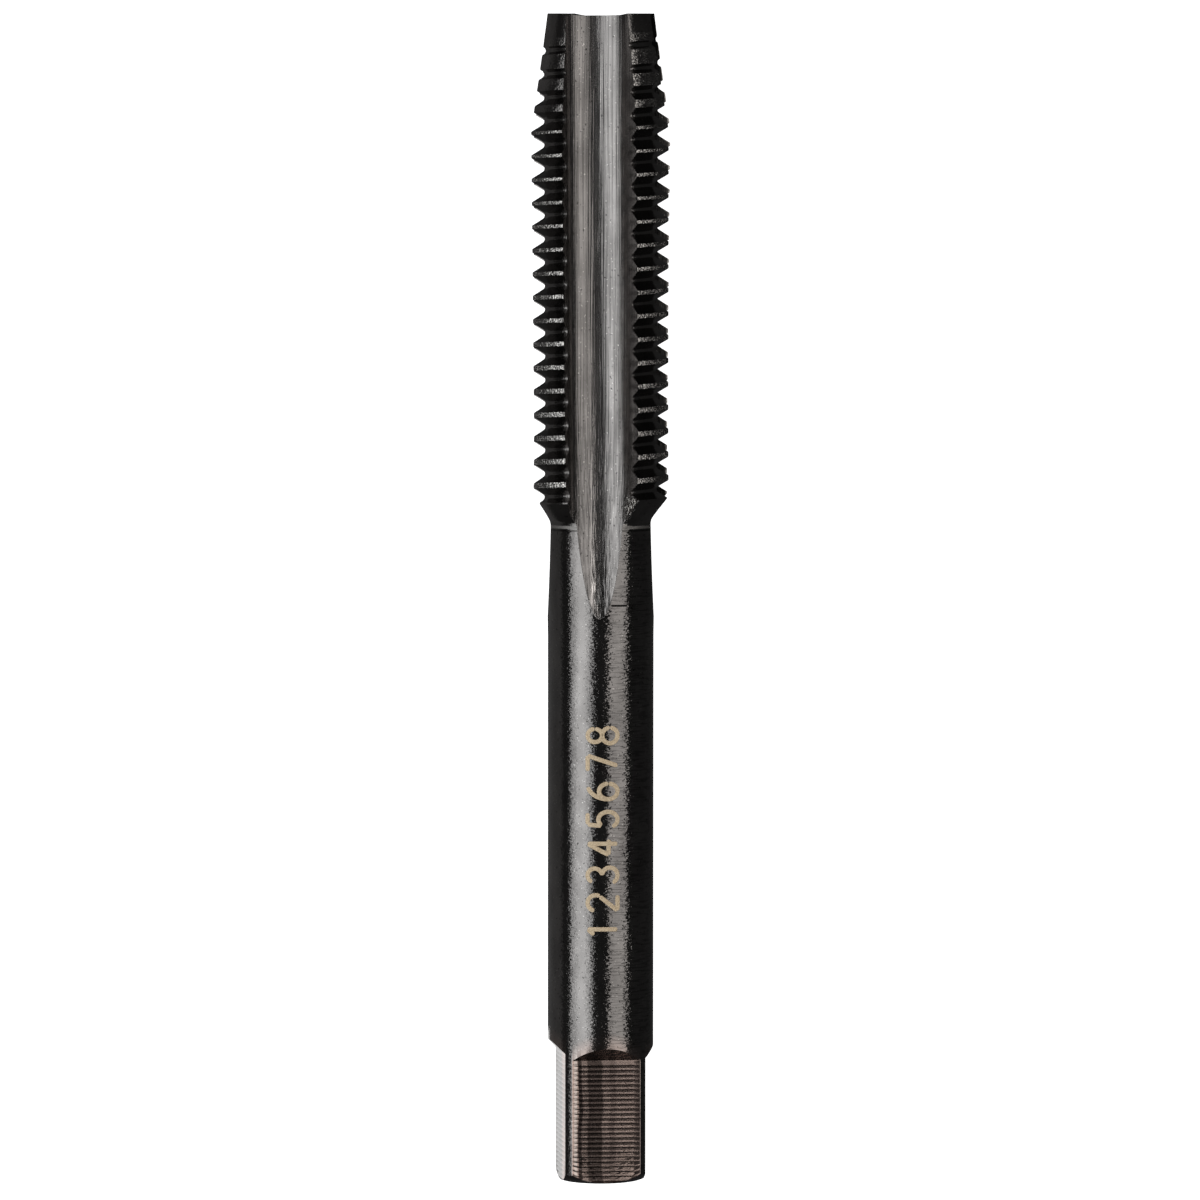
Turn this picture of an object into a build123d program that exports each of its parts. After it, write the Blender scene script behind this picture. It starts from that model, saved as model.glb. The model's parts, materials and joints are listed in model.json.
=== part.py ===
"""Hand tap for cutting an M10 x 1.5 right-hand thread.

One piece of hardened steel: a threaded body with four straight flutes, a lead taper at the tip,
a plain shank that thickens slightly towards the thread, and a driving square at the other end.

It is built standing on its drive end, with its axis on +Z and the flute that faces -Y at the front.
At the end it is laid down, so that the tip points to +Y and the front flute looks up to +Z.
The origin is the centre of the drive-end face.  All sizes are in millimetres and degrees.
"""

from build123d import *
from math import acos, asin, cos, degrees, radians, sin, sqrt, tan
import os

# ---- overall -----------------------------------------------------------------------------------
LENGTH = 75.0             # drive end to tip
THREAD_DIA = 10.0         # outer diameter of the thread where it is fullest
SHANK_DIA = 6.78          # plain shank
NECK_DIA = 7.0            # foot of the cone behind the thread

# ---- thread ------------------------------------------------------------------------------------
PITCH = 1.5
ROOT_DIA = 8.18           # bottom of the thread groove
THREAD_ANGLE = 60.0       # between the two flanks
ROOT_FLAT = 0.26          # width of the groove's bottom
FIRST_CREST = 1.38        # first crest from the tip, along the middle of the front flute
THREADED = 30.83          # tip to the end of the full-diameter body
LEAD = 7.4                # length of the lead taper
TIP_DIA = 7.62            # body diameter at the tip
BACK_DIA = 9.74           # body diameter where the thread ends, slightly less than at the lead
THREAD_BACK_ANGLE = 38.8  # cone from the body down to the neck, from the axis

# ---- shank -------------------------------------------------------------------------------------
NECK_BLEND = 7.4          # slim cone from the neck to the shank
END_FACE_DIA = 4.0        # flat of the drive end, inside its rounded edge
END_ROUND = 0.6           # length of that rounded edge along the axis

# ---- flutes ------------------------------------------------------------------------------------
FLUTES = 4
CORE_DIA = 4.76           # circle that the four flute floors touch
FLOOR_RADIUS = 2.7        # rounding of the flute's floor, which runs on up the heel
FLOOR_SHIFT = -0.27       # middle of that rounding from the flute's middle plane
RAKE_EDGE = 28.7          # cutting edge, in degrees from the middle of its flute
RAKE = 13.0               # hook of the cutting face, from the radius at its edge
RAKE_ROUND = 0.5          # rounding between the cutting face and the floor
RAKE_HOLLOW = 0.02        # how far the cutting face is ground hollow
FLUTE_STRAIGHT = 24.02    # tip to where the flute floor starts to rise
WHEEL_RADIUS = 105.0      # grinding wheel that leaves the rising end of the flute
FLUTE_SKEW = 0.57         # turn of each flute about its own radius, in degrees
SKEW_PIVOT = 18.0         # tip to where that radius stands

# ---- driving square ----------------------------------------------------------------------------
ACROSS_FLATS = 5.2
FLAT_LENGTHS = (8.0, 8.05, 8.0, 8.4)  # each full flat from the drive end: front, right, back, left
RUN_UP_ANGLE = 45.0       # slope from each flat up to the shank
SQUARE_TURN = 8.2         # turn of the square against the flutes

# ---- ends --------------------------------------------------------------------------------------
CENTRE_DIA = 1.6          # mouth of the centre hole that the blank was ground on
CENTRE_ANGLE = 60.0
TIP_DISH = 0.6            # hollow of the tip's end face

# ---- clearances for the cutters ----------------------------------------------------------------
OVERCUT = 0.15            # how far a groove cutter stands out of the body
PAST_END = 1.0            # how far a flute cutter stands out past the tip
GROOVE_SPAN = 70.0        # turn of one groove cutter, wider than a land


def blank() -> Part:
    """Turned blank: the body's outline carried round the axis, with the centre holes left out."""
    body_r = THREAD_DIA / 2
    shank_r = SHANK_DIA / 2
    neck_r = NECK_DIA / 2
    back_r = BACK_DIA / 2
    body_end = LENGTH - THREADED
    neck_top = body_end - (back_r - neck_r) / tan(radians(THREAD_BACK_ANGLE))
    face_r = END_FACE_DIA / 2
    # The rounded edge leaves the end face smoothly and meets the shank at height END_ROUND.
    round_r = ((shank_r - face_r) ** 2 + END_ROUND ** 2) / (2 * END_ROUND)
    half_turn = asin((shank_r - face_r) / round_r) / 2
    on_round = (face_r + round_r * sin(half_turn), 0, round_r * (1 - cos(half_turn)))
    outline = [
        (shank_r, END_ROUND),
        (shank_r, neck_top - NECK_BLEND),
        (neck_r, neck_top),
        (back_r, body_end),
        (body_r, LENGTH - LEAD),
        (TIP_DIA / 2, LENGTH),
        (0, LENGTH - TIP_DISH),
        (0, 0),
        (face_r, 0),
    ]
    profile = make_face([
        Polyline(*[(r, 0, z) for r, z in outline]),
        ThreePointArc((face_r, 0, 0), on_round, (shank_r, 0, END_ROUND)),
    ])
    # The seam of the turned surfaces lies along the middle of a flute, which cuts most of it away.
    return revolve(profile, Axis.Z)


def flute_section() -> Face:
    """Section of the front flute in the plane z = 0, open to beyond the body.

    The cutting face is ground slightly hollow along a line.  A small rounding joins it to the
    floor, a larger circle that carries on up to the heel of the next land.
    """
    body_r = THREAD_DIA / 2
    lean = radians(RAKE_EDGE - RAKE)
    edge = Vector(-body_r * sin(radians(RAKE_EDGE)), -body_r * cos(radians(RAKE_EDGE)))
    inward = Vector(sin(lean), cos(lean))
    across = Vector(cos(lean), -sin(lean))
    floor_middle = Vector(FLOOR_SHIFT, -CORE_DIA / 2 - FLOOR_RADIUS)
    # The small rounding's middle lies RAKE_ROUND from the line and inside the floor circle.
    reach = FLOOR_RADIUS - RAKE_ROUND
    offset = edge + across * RAKE_ROUND - floor_middle
    along = -offset.dot(inward)
    deeper = along + sqrt(along ** 2 - offset.dot(offset) + reach ** 2)
    round_middle = edge + across * RAKE_ROUND + inward * deeper
    line_end = round_middle - across * RAKE_ROUND
    to_floor = (round_middle - floor_middle).normalized()
    floor_start = floor_middle + to_floor * FLOOR_RADIUS
    round_bottom = round_middle + (to_floor - across).normalized() * RAKE_ROUND
    top = -body_r - PAST_END
    line_top = edge + inward * ((top - edge.Y) / inward.Y)
    hollow = (line_top + line_end) / 2 - across * RAKE_HOLLOW
    floor_bottom = floor_middle + Vector(0, FLOOR_RADIUS)
    floor_end = floor_middle + Vector(FLOOR_RADIUS, 0)
    return make_face([
        ThreePointArc(line_top, hollow, line_end),
        ThreePointArc(line_end, round_bottom, floor_start),
        ThreePointArc(floor_start, floor_bottom, floor_end),
        Line(floor_end, (floor_end.X, top)),
        Line((floor_end.X, top), line_top),
    ])


def flute_cutter() -> Part:
    """Cutter for the front flute: a straight run from the tip, then the arc of the wheel.

    The whole cutter is skewed slightly, so its middle crosses the axis's plane at the pivot.
    """
    floor_h = CORE_DIA / 2
    start_z = LENGTH - FLUTE_STRAIGHT
    start = Pos(0, 0, start_z) * flute_section()
    straight = extrude(start, amount=FLUTE_STRAIGHT + PAST_END, dir=(0, 0, 1))
    wheel_axis = Axis((0, -(floor_h + WHEEL_RADIUS), start_z), (-1, 0, 0))
    rise = THREAD_DIA / 2 + PAST_END - floor_h
    wheel_turn = degrees(acos(1 - rise / WHEEL_RADIUS))
    run_out = revolve(start, wheel_axis, revolution_arc=wheel_turn)
    pivot_z = LENGTH - SKEW_PIVOT
    return Pos(0, 0, pivot_z) * Rot(0, -FLUTE_SKEW, 0) * Pos(0, 0, -pivot_z) * (straight + run_out)


def groove_cutter() -> Part:
    """One short stretch of the thread groove: its V carried along the right-hand helix."""
    root_r = ROOT_DIA / 2
    outer_r = THREAD_DIA / 2 + OVERCUT
    root_half = ROOT_FLAT / 2
    outer_half = root_half + (outer_r - root_r) * tan(radians(THREAD_ANGLE / 2))
    section = Plane.XZ * Polygon(
        (root_r, -root_half), (outer_r, -outer_half), (outer_r, outer_half), (root_r, root_half),
        align=None)
    path = Helix(PITCH, PITCH * GROOVE_SPAN / 360, root_r)
    return sweep(section, path=path, is_frenet=True)


def groove_cutters() -> list[Part]:
    """The groove on every land, turn after turn, in step with one helix."""
    cutter = groove_cutter()
    step = 360 / FLUTES
    front = -90.0
    front_z = LENGTH - FIRST_CREST - PITCH / 2
    lowest = LENGTH - THREADED - PITCH
    cutters = []
    for land in range(FLUTES):
        start = front + step * (land + 0.5) - GROOVE_SPAN / 2
        z = front_z + PITCH * (start - front) / 360
        while z > lowest:
            cutters.append(Pos(0, 0, z) * Rot(0, 0, start) * cutter)
            z -= PITCH
    return cutters


def flat_cutter(length: float) -> Part:
    """Cutter for one flat of the driving square, on the -Y side, with its sloped run-up."""
    flat = ACROSS_FLATS / 2
    top = SHANK_DIA / 2 + PAST_END
    run = (top - flat) * tan(radians(90 - RUN_UP_ANGLE))
    side = Polyline(
        (0, -flat, -PAST_END), (0, -top, -PAST_END), (0, -top, length + run), (0, -flat, length),
        close=True)
    return extrude(make_face(side), amount=SHANK_DIA, both=True, dir=(1, 0, 0))


def centre_hole(face_z: float, inward: int) -> Part:
    """Cone for the centre hole in an end face at height face_z; inward is +1 if it goes up."""
    slope = tan(radians(CENTRE_ANGLE / 2))
    apex_z = face_z + inward * CENTRE_DIA / 2 / slope
    mouth_z = face_z - inward * PAST_END
    mouth_r = abs(apex_z - mouth_z) * slope
    side = Polyline((0, 0, apex_z), (mouth_r, 0, mouth_z), (0, 0, mouth_z), close=True)
    return revolve(make_face(side), Axis.Z)


def tap() -> Part:
    """The whole tool, standing on its drive end."""
    body = blank()
    flute = flute_cutter()
    body -= [Rot(0, 0, 360 / FLUTES * i) * flute for i in range(FLUTES)]
    body -= groove_cutters()
    for i, length in enumerate(FLAT_LENGTHS):
        body -= Rot(0, 0, SQUARE_TURN + 90 * i) * flat_cutter(length)
    body -= centre_hole(0, 1)
    body -= centre_hole(LENGTH - TIP_DISH, -1)
    return body


def main() -> None:
    """Write the tool, laid down with its tip towards +Y."""
    os.makedirs("parts", exist_ok=True)
    laid_down = Rot(-90, 0, 0) * tap()
    export_step(laid_down, "parts/tap.step")


main()
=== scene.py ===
"""Looks of a hand tap: one black-oxide steel tool lying on a pale floor under soft strip lights."""

import json
import logging
import math
from dataclasses import dataclass
from enum import Enum
from functools import partial, reduce

import bmesh
import bpy
import numpy as np
from mathutils import Euler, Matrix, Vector


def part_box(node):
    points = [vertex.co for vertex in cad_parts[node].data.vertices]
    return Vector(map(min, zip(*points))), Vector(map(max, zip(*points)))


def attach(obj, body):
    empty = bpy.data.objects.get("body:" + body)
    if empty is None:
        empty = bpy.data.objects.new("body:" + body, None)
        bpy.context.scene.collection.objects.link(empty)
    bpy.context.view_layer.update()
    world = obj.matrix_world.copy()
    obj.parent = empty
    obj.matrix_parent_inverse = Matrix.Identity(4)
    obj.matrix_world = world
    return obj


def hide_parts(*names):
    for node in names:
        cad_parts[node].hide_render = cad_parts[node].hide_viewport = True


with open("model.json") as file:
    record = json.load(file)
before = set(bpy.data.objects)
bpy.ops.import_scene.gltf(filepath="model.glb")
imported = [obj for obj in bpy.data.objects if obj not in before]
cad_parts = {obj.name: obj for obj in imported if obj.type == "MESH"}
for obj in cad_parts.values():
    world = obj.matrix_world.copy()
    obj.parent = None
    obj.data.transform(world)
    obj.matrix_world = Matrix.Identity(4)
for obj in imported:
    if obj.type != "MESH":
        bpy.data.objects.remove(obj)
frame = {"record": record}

Array = np.ndarray
Arrays = tuple[np.ndarray, ...]
Floats = tuple[float, ...]
Socket = bpy.types.NodeSocket

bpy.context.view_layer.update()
NODE = "tap"
MM = 0.001
SHARP_ANGLE = 28.0  # degrees between two faces, past which their edge is shaded sharp
CUT_SHARE = 0.02  # share of flute past which a ring counts as cut
log = logging.getLogger("tap")


def smooth(x: Array, low: float, high: float) -> Array:
    """Smooth step from 0 at low to 1 at high.

    Args:
        x: Values to map.
        low: Where the step starts.
        high: Where the step ends.

    Returns:
        3u^2 - 2u^3, with u the share of the way from low to high, held between 0 and 1.
    """
    u = np.clip((x - low) / (high - low), 0.0, 1.0)
    return u * u * (3.0 - 2.0 * u)


def ripple(x: Array, seed: float) -> Array:
    """Rough one-dimensional noise of about unit size: five sine waves whose rates share no factor.

    Args:
        x: Places along the line, in any unit.
        seed: Shifts the waves, so that two calls differ.

    Returns:
        The sum of the waves at each place.
    """
    total = np.zeros_like(np.asarray(x, dtype=float))
    for order in range(1, 6):
        rate = 1.7 ** order
        total += np.sin(rate * x + seed * (order + 0.37) * 2.1) / order ** 0.6
    return total / 2.2


def bearing(q: int, x: Array, h: Array) -> Array:
    """Angle from straight up, in degrees, of points x across and h out in the plane of flute q."""
    return 90.0 * q + np.degrees(np.arctan2(x, h))


def link_object(name: str, data: bpy.types.ID) -> bpy.types.Object:
    """Make an object of some data and link it to the scene."""
    obj = bpy.data.objects.new(name, data)
    bpy.context.scene.collection.objects.link(obj)
    return obj


def mesh_points(mesh: bpy.types.Mesh) -> Array:
    """Points of a mesh in millimetres, one row each."""
    points = np.empty(len(mesh.vertices) * 3)
    mesh.vertices.foreach_get("co", points)
    return points.reshape(-1, 3) / MM


@dataclass(frozen=True)
class TapSizes:
    """Real sizes of the tap in millimetres and degrees, along Y from the drive end to the tip.

    tip_groove is how much deeper the thread's groove gets at the tip, over the stretch
    tip_groove_reach, which is counted back from the tip.
    """

    length: float
    shank_r: float
    thread_r: float = 5.0
    back_r: float = 4.87
    neck_r: float = 3.5
    tip_r: float = 3.81
    root_r: float = 4.09
    root_half: float = 0.13
    root_round: float = 0.225
    pitch: float = 1.5
    flank: float = 30.0
    first_crest: float = 1.38
    threaded: float = 30.83
    lead: float = 7.4
    back_angle: float = 38.8
    neck_blend: float = 7.4
    end_face_r: float = 2.0
    end_round: float = 0.6
    core_r: float = 2.38
    floor_r: float = 2.7
    floor_shift: float = -0.27
    rake_edge: float = 28.7
    heel_edge: float = 28.0
    rake: float = 13.0
    rake_round: float = 0.5
    rake_hollow: float = 0.02
    run_start: float = 24.02
    wheel_r: float = 105.0
    skew: float = 0.57
    skew_pivot: float = 18.0
    flat: float = 2.6
    flat_lengths: Floats = (8.0, 8.05, 8.0, 8.4)
    square_turn: float = 8.2
    hole_r: float = 0.8
    hole_angle: float = 30.0
    tip_dish: float = 0.6
    tip_groove: float = 0.16
    tip_groove_reach: Floats = (3.4, 2.0)

    @property
    def body_end(self) -> float:
        """Where the threaded body ends, along Y."""
        return self.length - self.threaded

    @property
    def neck_top(self) -> float:
        """Foot of the cone behind the thread, along Y."""
        return self.body_end - (self.back_r - self.neck_r) / math.tan(math.radians(self.back_angle))

    @property
    def shank_top(self) -> float:
        """Where the plain shank ends and its slim cone to the thread starts, along Y."""
        return self.neck_top - self.neck_blend

    @property
    def round_r(self) -> float:
        """Radius of the rounded edge at the drive end."""
        reach = self.shank_r - self.end_face_r
        return (reach ** 2 + self.end_round ** 2) / (2 * self.end_round)

    @property
    def flat_end_y(self) -> float:
        """Where the middle of a flat meets the rounded edge, along Y."""
        return self.round_r - math.sqrt(self.round_r ** 2 - (self.flat - self.end_face_r) ** 2)


class FluteLine:
    """Section of one flute as a line in its own plane: x across it and h out from the axis."""

    SAMPLES = 240
    HALVINGS = 44
    SAME_POINT = 1e-9
    OVERRUN = 1.0  # how far each side of the line goes on past the thread
    LONGEST = 22.0  # how far along Y the run-out is followed

    def __init__(self, sizes: TapSizes) -> None:
        """Lay out the line and measure its length.

        Args:
            sizes: Sizes of the tap.
        """
        self.sizes = sizes
        points = self._outline()
        steps = np.hypot(np.diff(points[:, 0]), np.diff(points[:, 1]))
        keep = np.concatenate(([True], steps > self.SAME_POINT))
        points = points[keep]
        steps = np.hypot(np.diff(points[:, 0]), np.diff(points[:, 1]))
        self.t = np.concatenate(([0.0], np.cumsum(steps)))
        self.x, self.h = points[:, 0], points[:, 1]

    def _outline(self) -> Array:
        """Points of the line: hollow cutting face, small rounding, floor circle, then the heel.

        Returns:
            Points as rows of x and h.
        """
        z = self.sizes
        lean = math.radians(z.rake_edge - z.rake)
        edge_turn = math.radians(z.rake_edge)
        edge = np.array([-z.thread_r * math.sin(edge_turn), z.thread_r * math.cos(edge_turn)])
        inward = np.array([math.sin(lean), -math.cos(lean)])
        across = np.array([math.cos(lean), math.sin(lean)])
        floor_middle = np.array([z.floor_shift, z.core_r + z.floor_r])
        reach = z.floor_r - z.rake_round
        offset = edge + across * z.rake_round - floor_middle
        along = -offset @ inward
        deeper = along + math.sqrt(along ** 2 - offset @ offset + reach ** 2)
        round_middle = edge + across * z.rake_round + inward * deeper
        line_end = round_middle - across * z.rake_round
        line_top = edge + inward * ((z.thread_r + self.OVERRUN - edge[1]) / inward[1])
        share = np.linspace(0.0, 1.0, self.SAMPLES)[:, None]
        bow = 4 * share * (1 - share) * z.rake_hollow
        wall = line_top + (line_end - line_top) * share - across * bow
        to_floor = (round_middle - floor_middle) / reach
        start_turn = math.atan2(-across[1], -across[0]) % (2 * math.pi)
        floor_turn = math.atan2(to_floor[1], to_floor[0]) % (2 * math.pi)
        turn = start_turn + (floor_turn - start_turn) * share
        rounding = round_middle + z.rake_round * np.hstack((np.cos(turn), np.sin(turn)))
        turn = floor_turn + (2 * math.pi - floor_turn) * share
        floor = floor_middle + z.floor_r * np.hstack((np.cos(turn), np.sin(turn)))
        heel = floor[-1] + np.array([0.0, self.OVERRUN]) * share
        return np.vstack((wall, rounding, floor, heel))

    def at(self, t: Array, y: Array) -> Arrays:
        """Points of the line at lengths t along it and places y along the tool.

        The flute is turned by a small skew about its own radius at the pivot, so its line drifts
        sideways.  Past the straight part a point at height h moves out on a circle about the
        wheel's axis: C - sqrt((C - h)^2 - d^2), with C the height of that axis and d the way past.

        Args:
            t: Lengths along the line from its rake end.
            y: Places along the tool.

        Returns:
            Arrays of x and h.
        """
        z = self.sizes
        x, h = np.interp(t, self.t, self.x), np.interp(t, self.t, self.h)
        turn = math.radians(z.skew)
        down = z.length - z.skew_pivot - y
        across = (x + down * math.sin(turn)) / math.cos(turn)
        along = (down + x * math.sin(turn)) / math.cos(turn)
        past = np.clip(along + z.skew_pivot - z.run_start, 0.0, self.LONGEST)
        centre = z.core_r + z.wheel_r
        return across, centre - np.sqrt((centre - h) ** 2 - past ** 2)

    def lowest(self, y: Array) -> Array:
        """Length along the line at which it comes nearest to the axis, for each place y."""
        every = self.t[None, :]
        x, h = self.at(every, y[:, None])
        return self.t[np.argmin(np.hypot(x, h), axis=1)]

    def crossing(self, y: Array, r: Array, low: Array, side: int) -> Array:
        """Where the line crosses a circle of radius r on one side of its lowest point.

        The distance from the axis grows steadily away from the lowest point, so the crossing is
        found by halving the stretch between it and the end of the line.

        Args:
            y: Places along the tool.
            r: Radius of the circle at each place.
            low: Length of the lowest point at each place.
            side: -1 for the cutting face, +1 for the heel.

        Returns:
            Length along the line at each place, equal to low where the circle is inside the line.
        """
        near = low.copy()
        far = np.full_like(low, self.t[0] if side < 0 else self.t[-1])
        for _ in range(self.HALVINGS):
            middle = (near + far) / 2
            x, h = self.at(middle, y)
            inside = np.hypot(x, h) < r
            near = np.where(inside, middle, near)
            far = np.where(inside, far, middle)
        return near


class Zone(Enum):
    """Stretches of the tool that are worked in different ways."""

    END = "end"
    SQUARE = "square"
    RUN_UP = "run_up"
    SHANK = "shank"
    NECK = "neck"
    THREAD = "thread"
    TIP = "tip"


@dataclass(frozen=True)
class Row:
    """One ring of points round the tool.

    base is its place along Y, or a share of its stretch.  step is, on the thread, how far it lies
    from the groove's middle: 1 is the groove's edge and 2 the middle of the crest.
    """

    zone: Zone
    base: float
    step: float = 0.0


@dataclass
class TapBody:
    """The whole tap as one closed surface: rings round the axis, each a row of one grid.

    Columns follow the flutes and lands on the thread, and the flats and corners on the square.
    Rows follow the thread's helix, so that its crests and roots are whole rows.  Lengths are in
    millimetres and angles in degrees.
    """

    sizes: TapSizes
    flute_columns: int = 18
    land_columns: int = 16
    corner_columns: int = 7
    margin: float = 0.02  # share of a land left free beside each flute edge
    # Rings in each plain stretch, how far the square's rings bend and stretch at its ends, and how
    # far below the shank's top the neck's rings start.
    end_rings: int = 7
    run_up_rings: int = 12
    shank_rings: int = 25
    tip_rings: int = 11
    ring_step: float = 0.09
    foot_reach: float = 1.6
    top_reach: float = 1.0
    least_arch: float = 0.02
    neck_start: float = 0.6
    # Grinding ridges: half a valley's mouth, and its flank, are shares of the pitch.
    ridge_pitch: float = 0.31
    ridge_depth: float = 0.062
    ridge_rows: int = 6
    valley_half: float = 0.36
    valley_flank: float = 0.3
    ridge_fade: float = 0.25
    # Thread: rings on one side of a groove, and the limits of half its width.
    groove_steps: Floats = (0.12, 0.22, 0.3, 0.62, 0.94, 1.0, 1.25)
    run_out_steps: Floats = (1.5, 1.75)
    helix_fade: float = 2.2
    first_guess: float = 0.4
    least_edge: float = 0.15
    crest_gap: float = 0.02
    edge_wear: float = 0.012
    worn_from: float = 0.1
    fillet: float = 0.5
    # Flute: where its inner columns stand, as a radius and as least and most shares of its width.
    inner_r: float = 4.0
    inner_step: float = 0.08
    inner_share: Floats = (0.04, 0.3)
    bunch: float = 0.02
    floor_soft: float = 0.05
    passes: int = 3
    # Burrs: angle, place along Y from the body's end (from, to), and size of each.
    burr_places: tuple[Floats, ...] = ((27.3, -1.6, 0.15, 1.0), (-29.0, -1.3, -0.8, 0.6))
    burr_reach: float = 0.11
    burr_sway: float = 1.3
    burr_width: float = 1.5
    burr_soft: float = 0.3
    torn_gain: float = 3.0
    cap_shares: Floats = (0.12, 0.45, 0.8, 1.0)

    def __post_init__(self) -> None:
        """Prepare the flute's line."""
        self.line = FluteLine(self.sizes)

    # ---- rows ------------------------------------------------------------------------------

    def rows(self) -> list[Row]:
        """Every ring from the drive end to the tip."""
        z = self.sizes
        rows = [Row(Zone.END, share) for share in np.linspace(0.0, 1.0, self.end_rings)]
        low, high = z.end_round, min(z.flat_lengths)
        # On the middle of a flat, every ring lies at a whole share of a ridge.
        share = np.linspace(low, high, 4000)
        middle_y = share + (z.flat_end_y - low) * (1 - smooth(share, low, low + self.foot_reach))
        step = self.ridge_pitch / self.ridge_rows
        start, stop = math.ceil((middle_y[0] - low) / step), math.floor((high - low) / step) + 1
        rings = np.interp(low + np.arange(start, stop) * step, middle_y, share)
        rows += [Row(Zone.SQUARE, y) for y in (*rings, high)]
        for zone, count in ((Zone.RUN_UP, self.run_up_rings), (Zone.SHANK, self.shank_rings)):
            rows += [Row(zone, share) for share in np.linspace(0.0, 1.0, count + 1)[1:]]
        neck_low = z.shank_top - self.neck_start
        thread_low = self.groove(self.grooves - 1) - z.pitch / 2
        count = math.ceil((thread_low - neck_low) / self.ring_step)
        rows += [Row(Zone.NECK, y) for y in np.linspace(neck_low, thread_low, count)]
        for k in reversed(range(self.grooves)):
            inside = self.groove_steps + (self.run_out_steps if k >= self.grooves - 2 else ())
            steps = (*(-s for s in reversed(inside)), 0.0, *inside, 2.0)
            rows += [Row(Zone.THREAD, self.groove(k), s) for s in steps]
        top = self.groove(0) + z.pitch / 2
        rows += [Row(Zone.TIP, y) for y in np.linspace(top, z.length, self.tip_rings + 1)[1:]]
        return rows

    @property
    def grooves(self) -> int:
        """How many turns of the groove there are, counted along one column."""
        return int((self.groove(0) - self.sizes.neck_top) / self.sizes.pitch) + 1

    def groove(self, k: int) -> float:
        """Middle of groove k, counted from the tip, along the middle of the front flute."""
        z = self.sizes
        return z.length - z.first_crest - z.pitch * (k + 0.5)

    def blank_radius(self, y: Array) -> Array:
        """Radius of the turned blank beyond the rounded drive end, straight between its stations.

        The foot of the cone behind the thread is a small fillet: within half its width the corner
        is eased by (width / 2 - distance)^2 times the change of slope over twice the width.
        """
        z = self.sizes
        stations = (z.end_round, z.shank_top, z.neck_top, z.body_end, z.length - z.lead, z.length)
        radii = (z.shank_r, z.shank_r, z.neck_r, z.back_r, z.thread_r, z.tip_r)
        near = np.clip(self.fillet / 2 - np.abs(y - z.neck_top), 0.0, None)
        ease = near ** 2 * math.tan(math.radians(z.back_angle)) / (2 * self.fillet)
        return np.interp(y, stations, radii) + ease

    # ---- thread and flutes -----------------------------------------------------------------

    def threaded_part(self, rows: list[Row]) -> Arrays:
        """Points of the rings from the neck to the tip.

        Each ring's place along Y is shifted by pitch times angle over a full turn, so that it
        follows the helix.  The shift fades out below the thread and at the tip.  The land's radius
        is the smaller of the blank's and the groove's, which rises from its flat bottom at the
        flank's slope.  Each flute's edges are where its line crosses the land's radius.

        Args:
            rows: Rings of the neck, thread and tip zones.

        Returns:
            Arrays of rings by columns: angle, y, x and height, and the share of each point that
            is flute and crest.
        """
        z = self.sizes
        base = np.array([row.base for row in rows])
        step = np.array([row.step for row in rows])
        threaded = np.array([row.zone is Zone.THREAD for row in rows])
        low_end = self.groove(self.grooves - 1) - z.pitch / 2
        high_end = self.groove(0) + z.pitch / 2
        follow = smooth(base, low_end - self.helix_fade, low_end)
        follow = np.where(base > high_end, (z.length - base) / (z.length - high_end), follow)
        # Turns taken off the angle of each land, so that no ring shifts by more than half a pitch.
        wrap = (0.0, 0.0, 1.0, 1.0)

        def place(angle: Array, turns: float) -> Arrays:
            """Place along Y, and land radius, of each ring at an angle."""
            shift = z.pitch * (angle / 360.0 - turns) * follow
            middle = base + shift
            flank = math.radians(z.flank)
            slope = math.tan(flank)
            low, high = (z.length - reach for reach in z.tip_groove_reach)
            root = z.root_r - z.tip_groove * smooth(middle, low, high)
            rise = z.root_round * (1 - math.sin(flank))
            reach = z.root_round * math.cos(flank)
            edge = np.full_like(middle, z.pitch * self.first_guess)
            for _ in range(self.passes):
                deep = self.blank_radius(middle + np.sign(step) * edge) - root
                arc = np.sqrt(np.clip(z.root_round ** 2 - (z.root_round - deep) ** 2, 0.0, None))
                edge = np.where(deep > rise, z.root_half + deep * slope, arc * (deep > 0))
                edge = np.clip(edge, self.least_edge, z.pitch / 2 - self.crest_gap)
            size = np.abs(step)
            away = np.where(size <= 1, size * edge, edge + (size - 1) * (z.pitch / 2 - edge))
            y = middle + np.where(threaded, np.sign(step) * away, 0.0)
            blank = self.blank_radius(y)
            bowl = np.sqrt(z.root_round ** 2 - np.minimum(away, reach) ** 2)
            groove = root + z.root_round - bowl + np.maximum(away - reach, 0.0) / slope
            radius = np.where(threaded, np.minimum(blank, groove), blank)
            on_edge = threaded & (size == 1) & (blank > root + self.worn_from)
            return y, radius - np.where(on_edge, self.edge_wear, 0.0)

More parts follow.
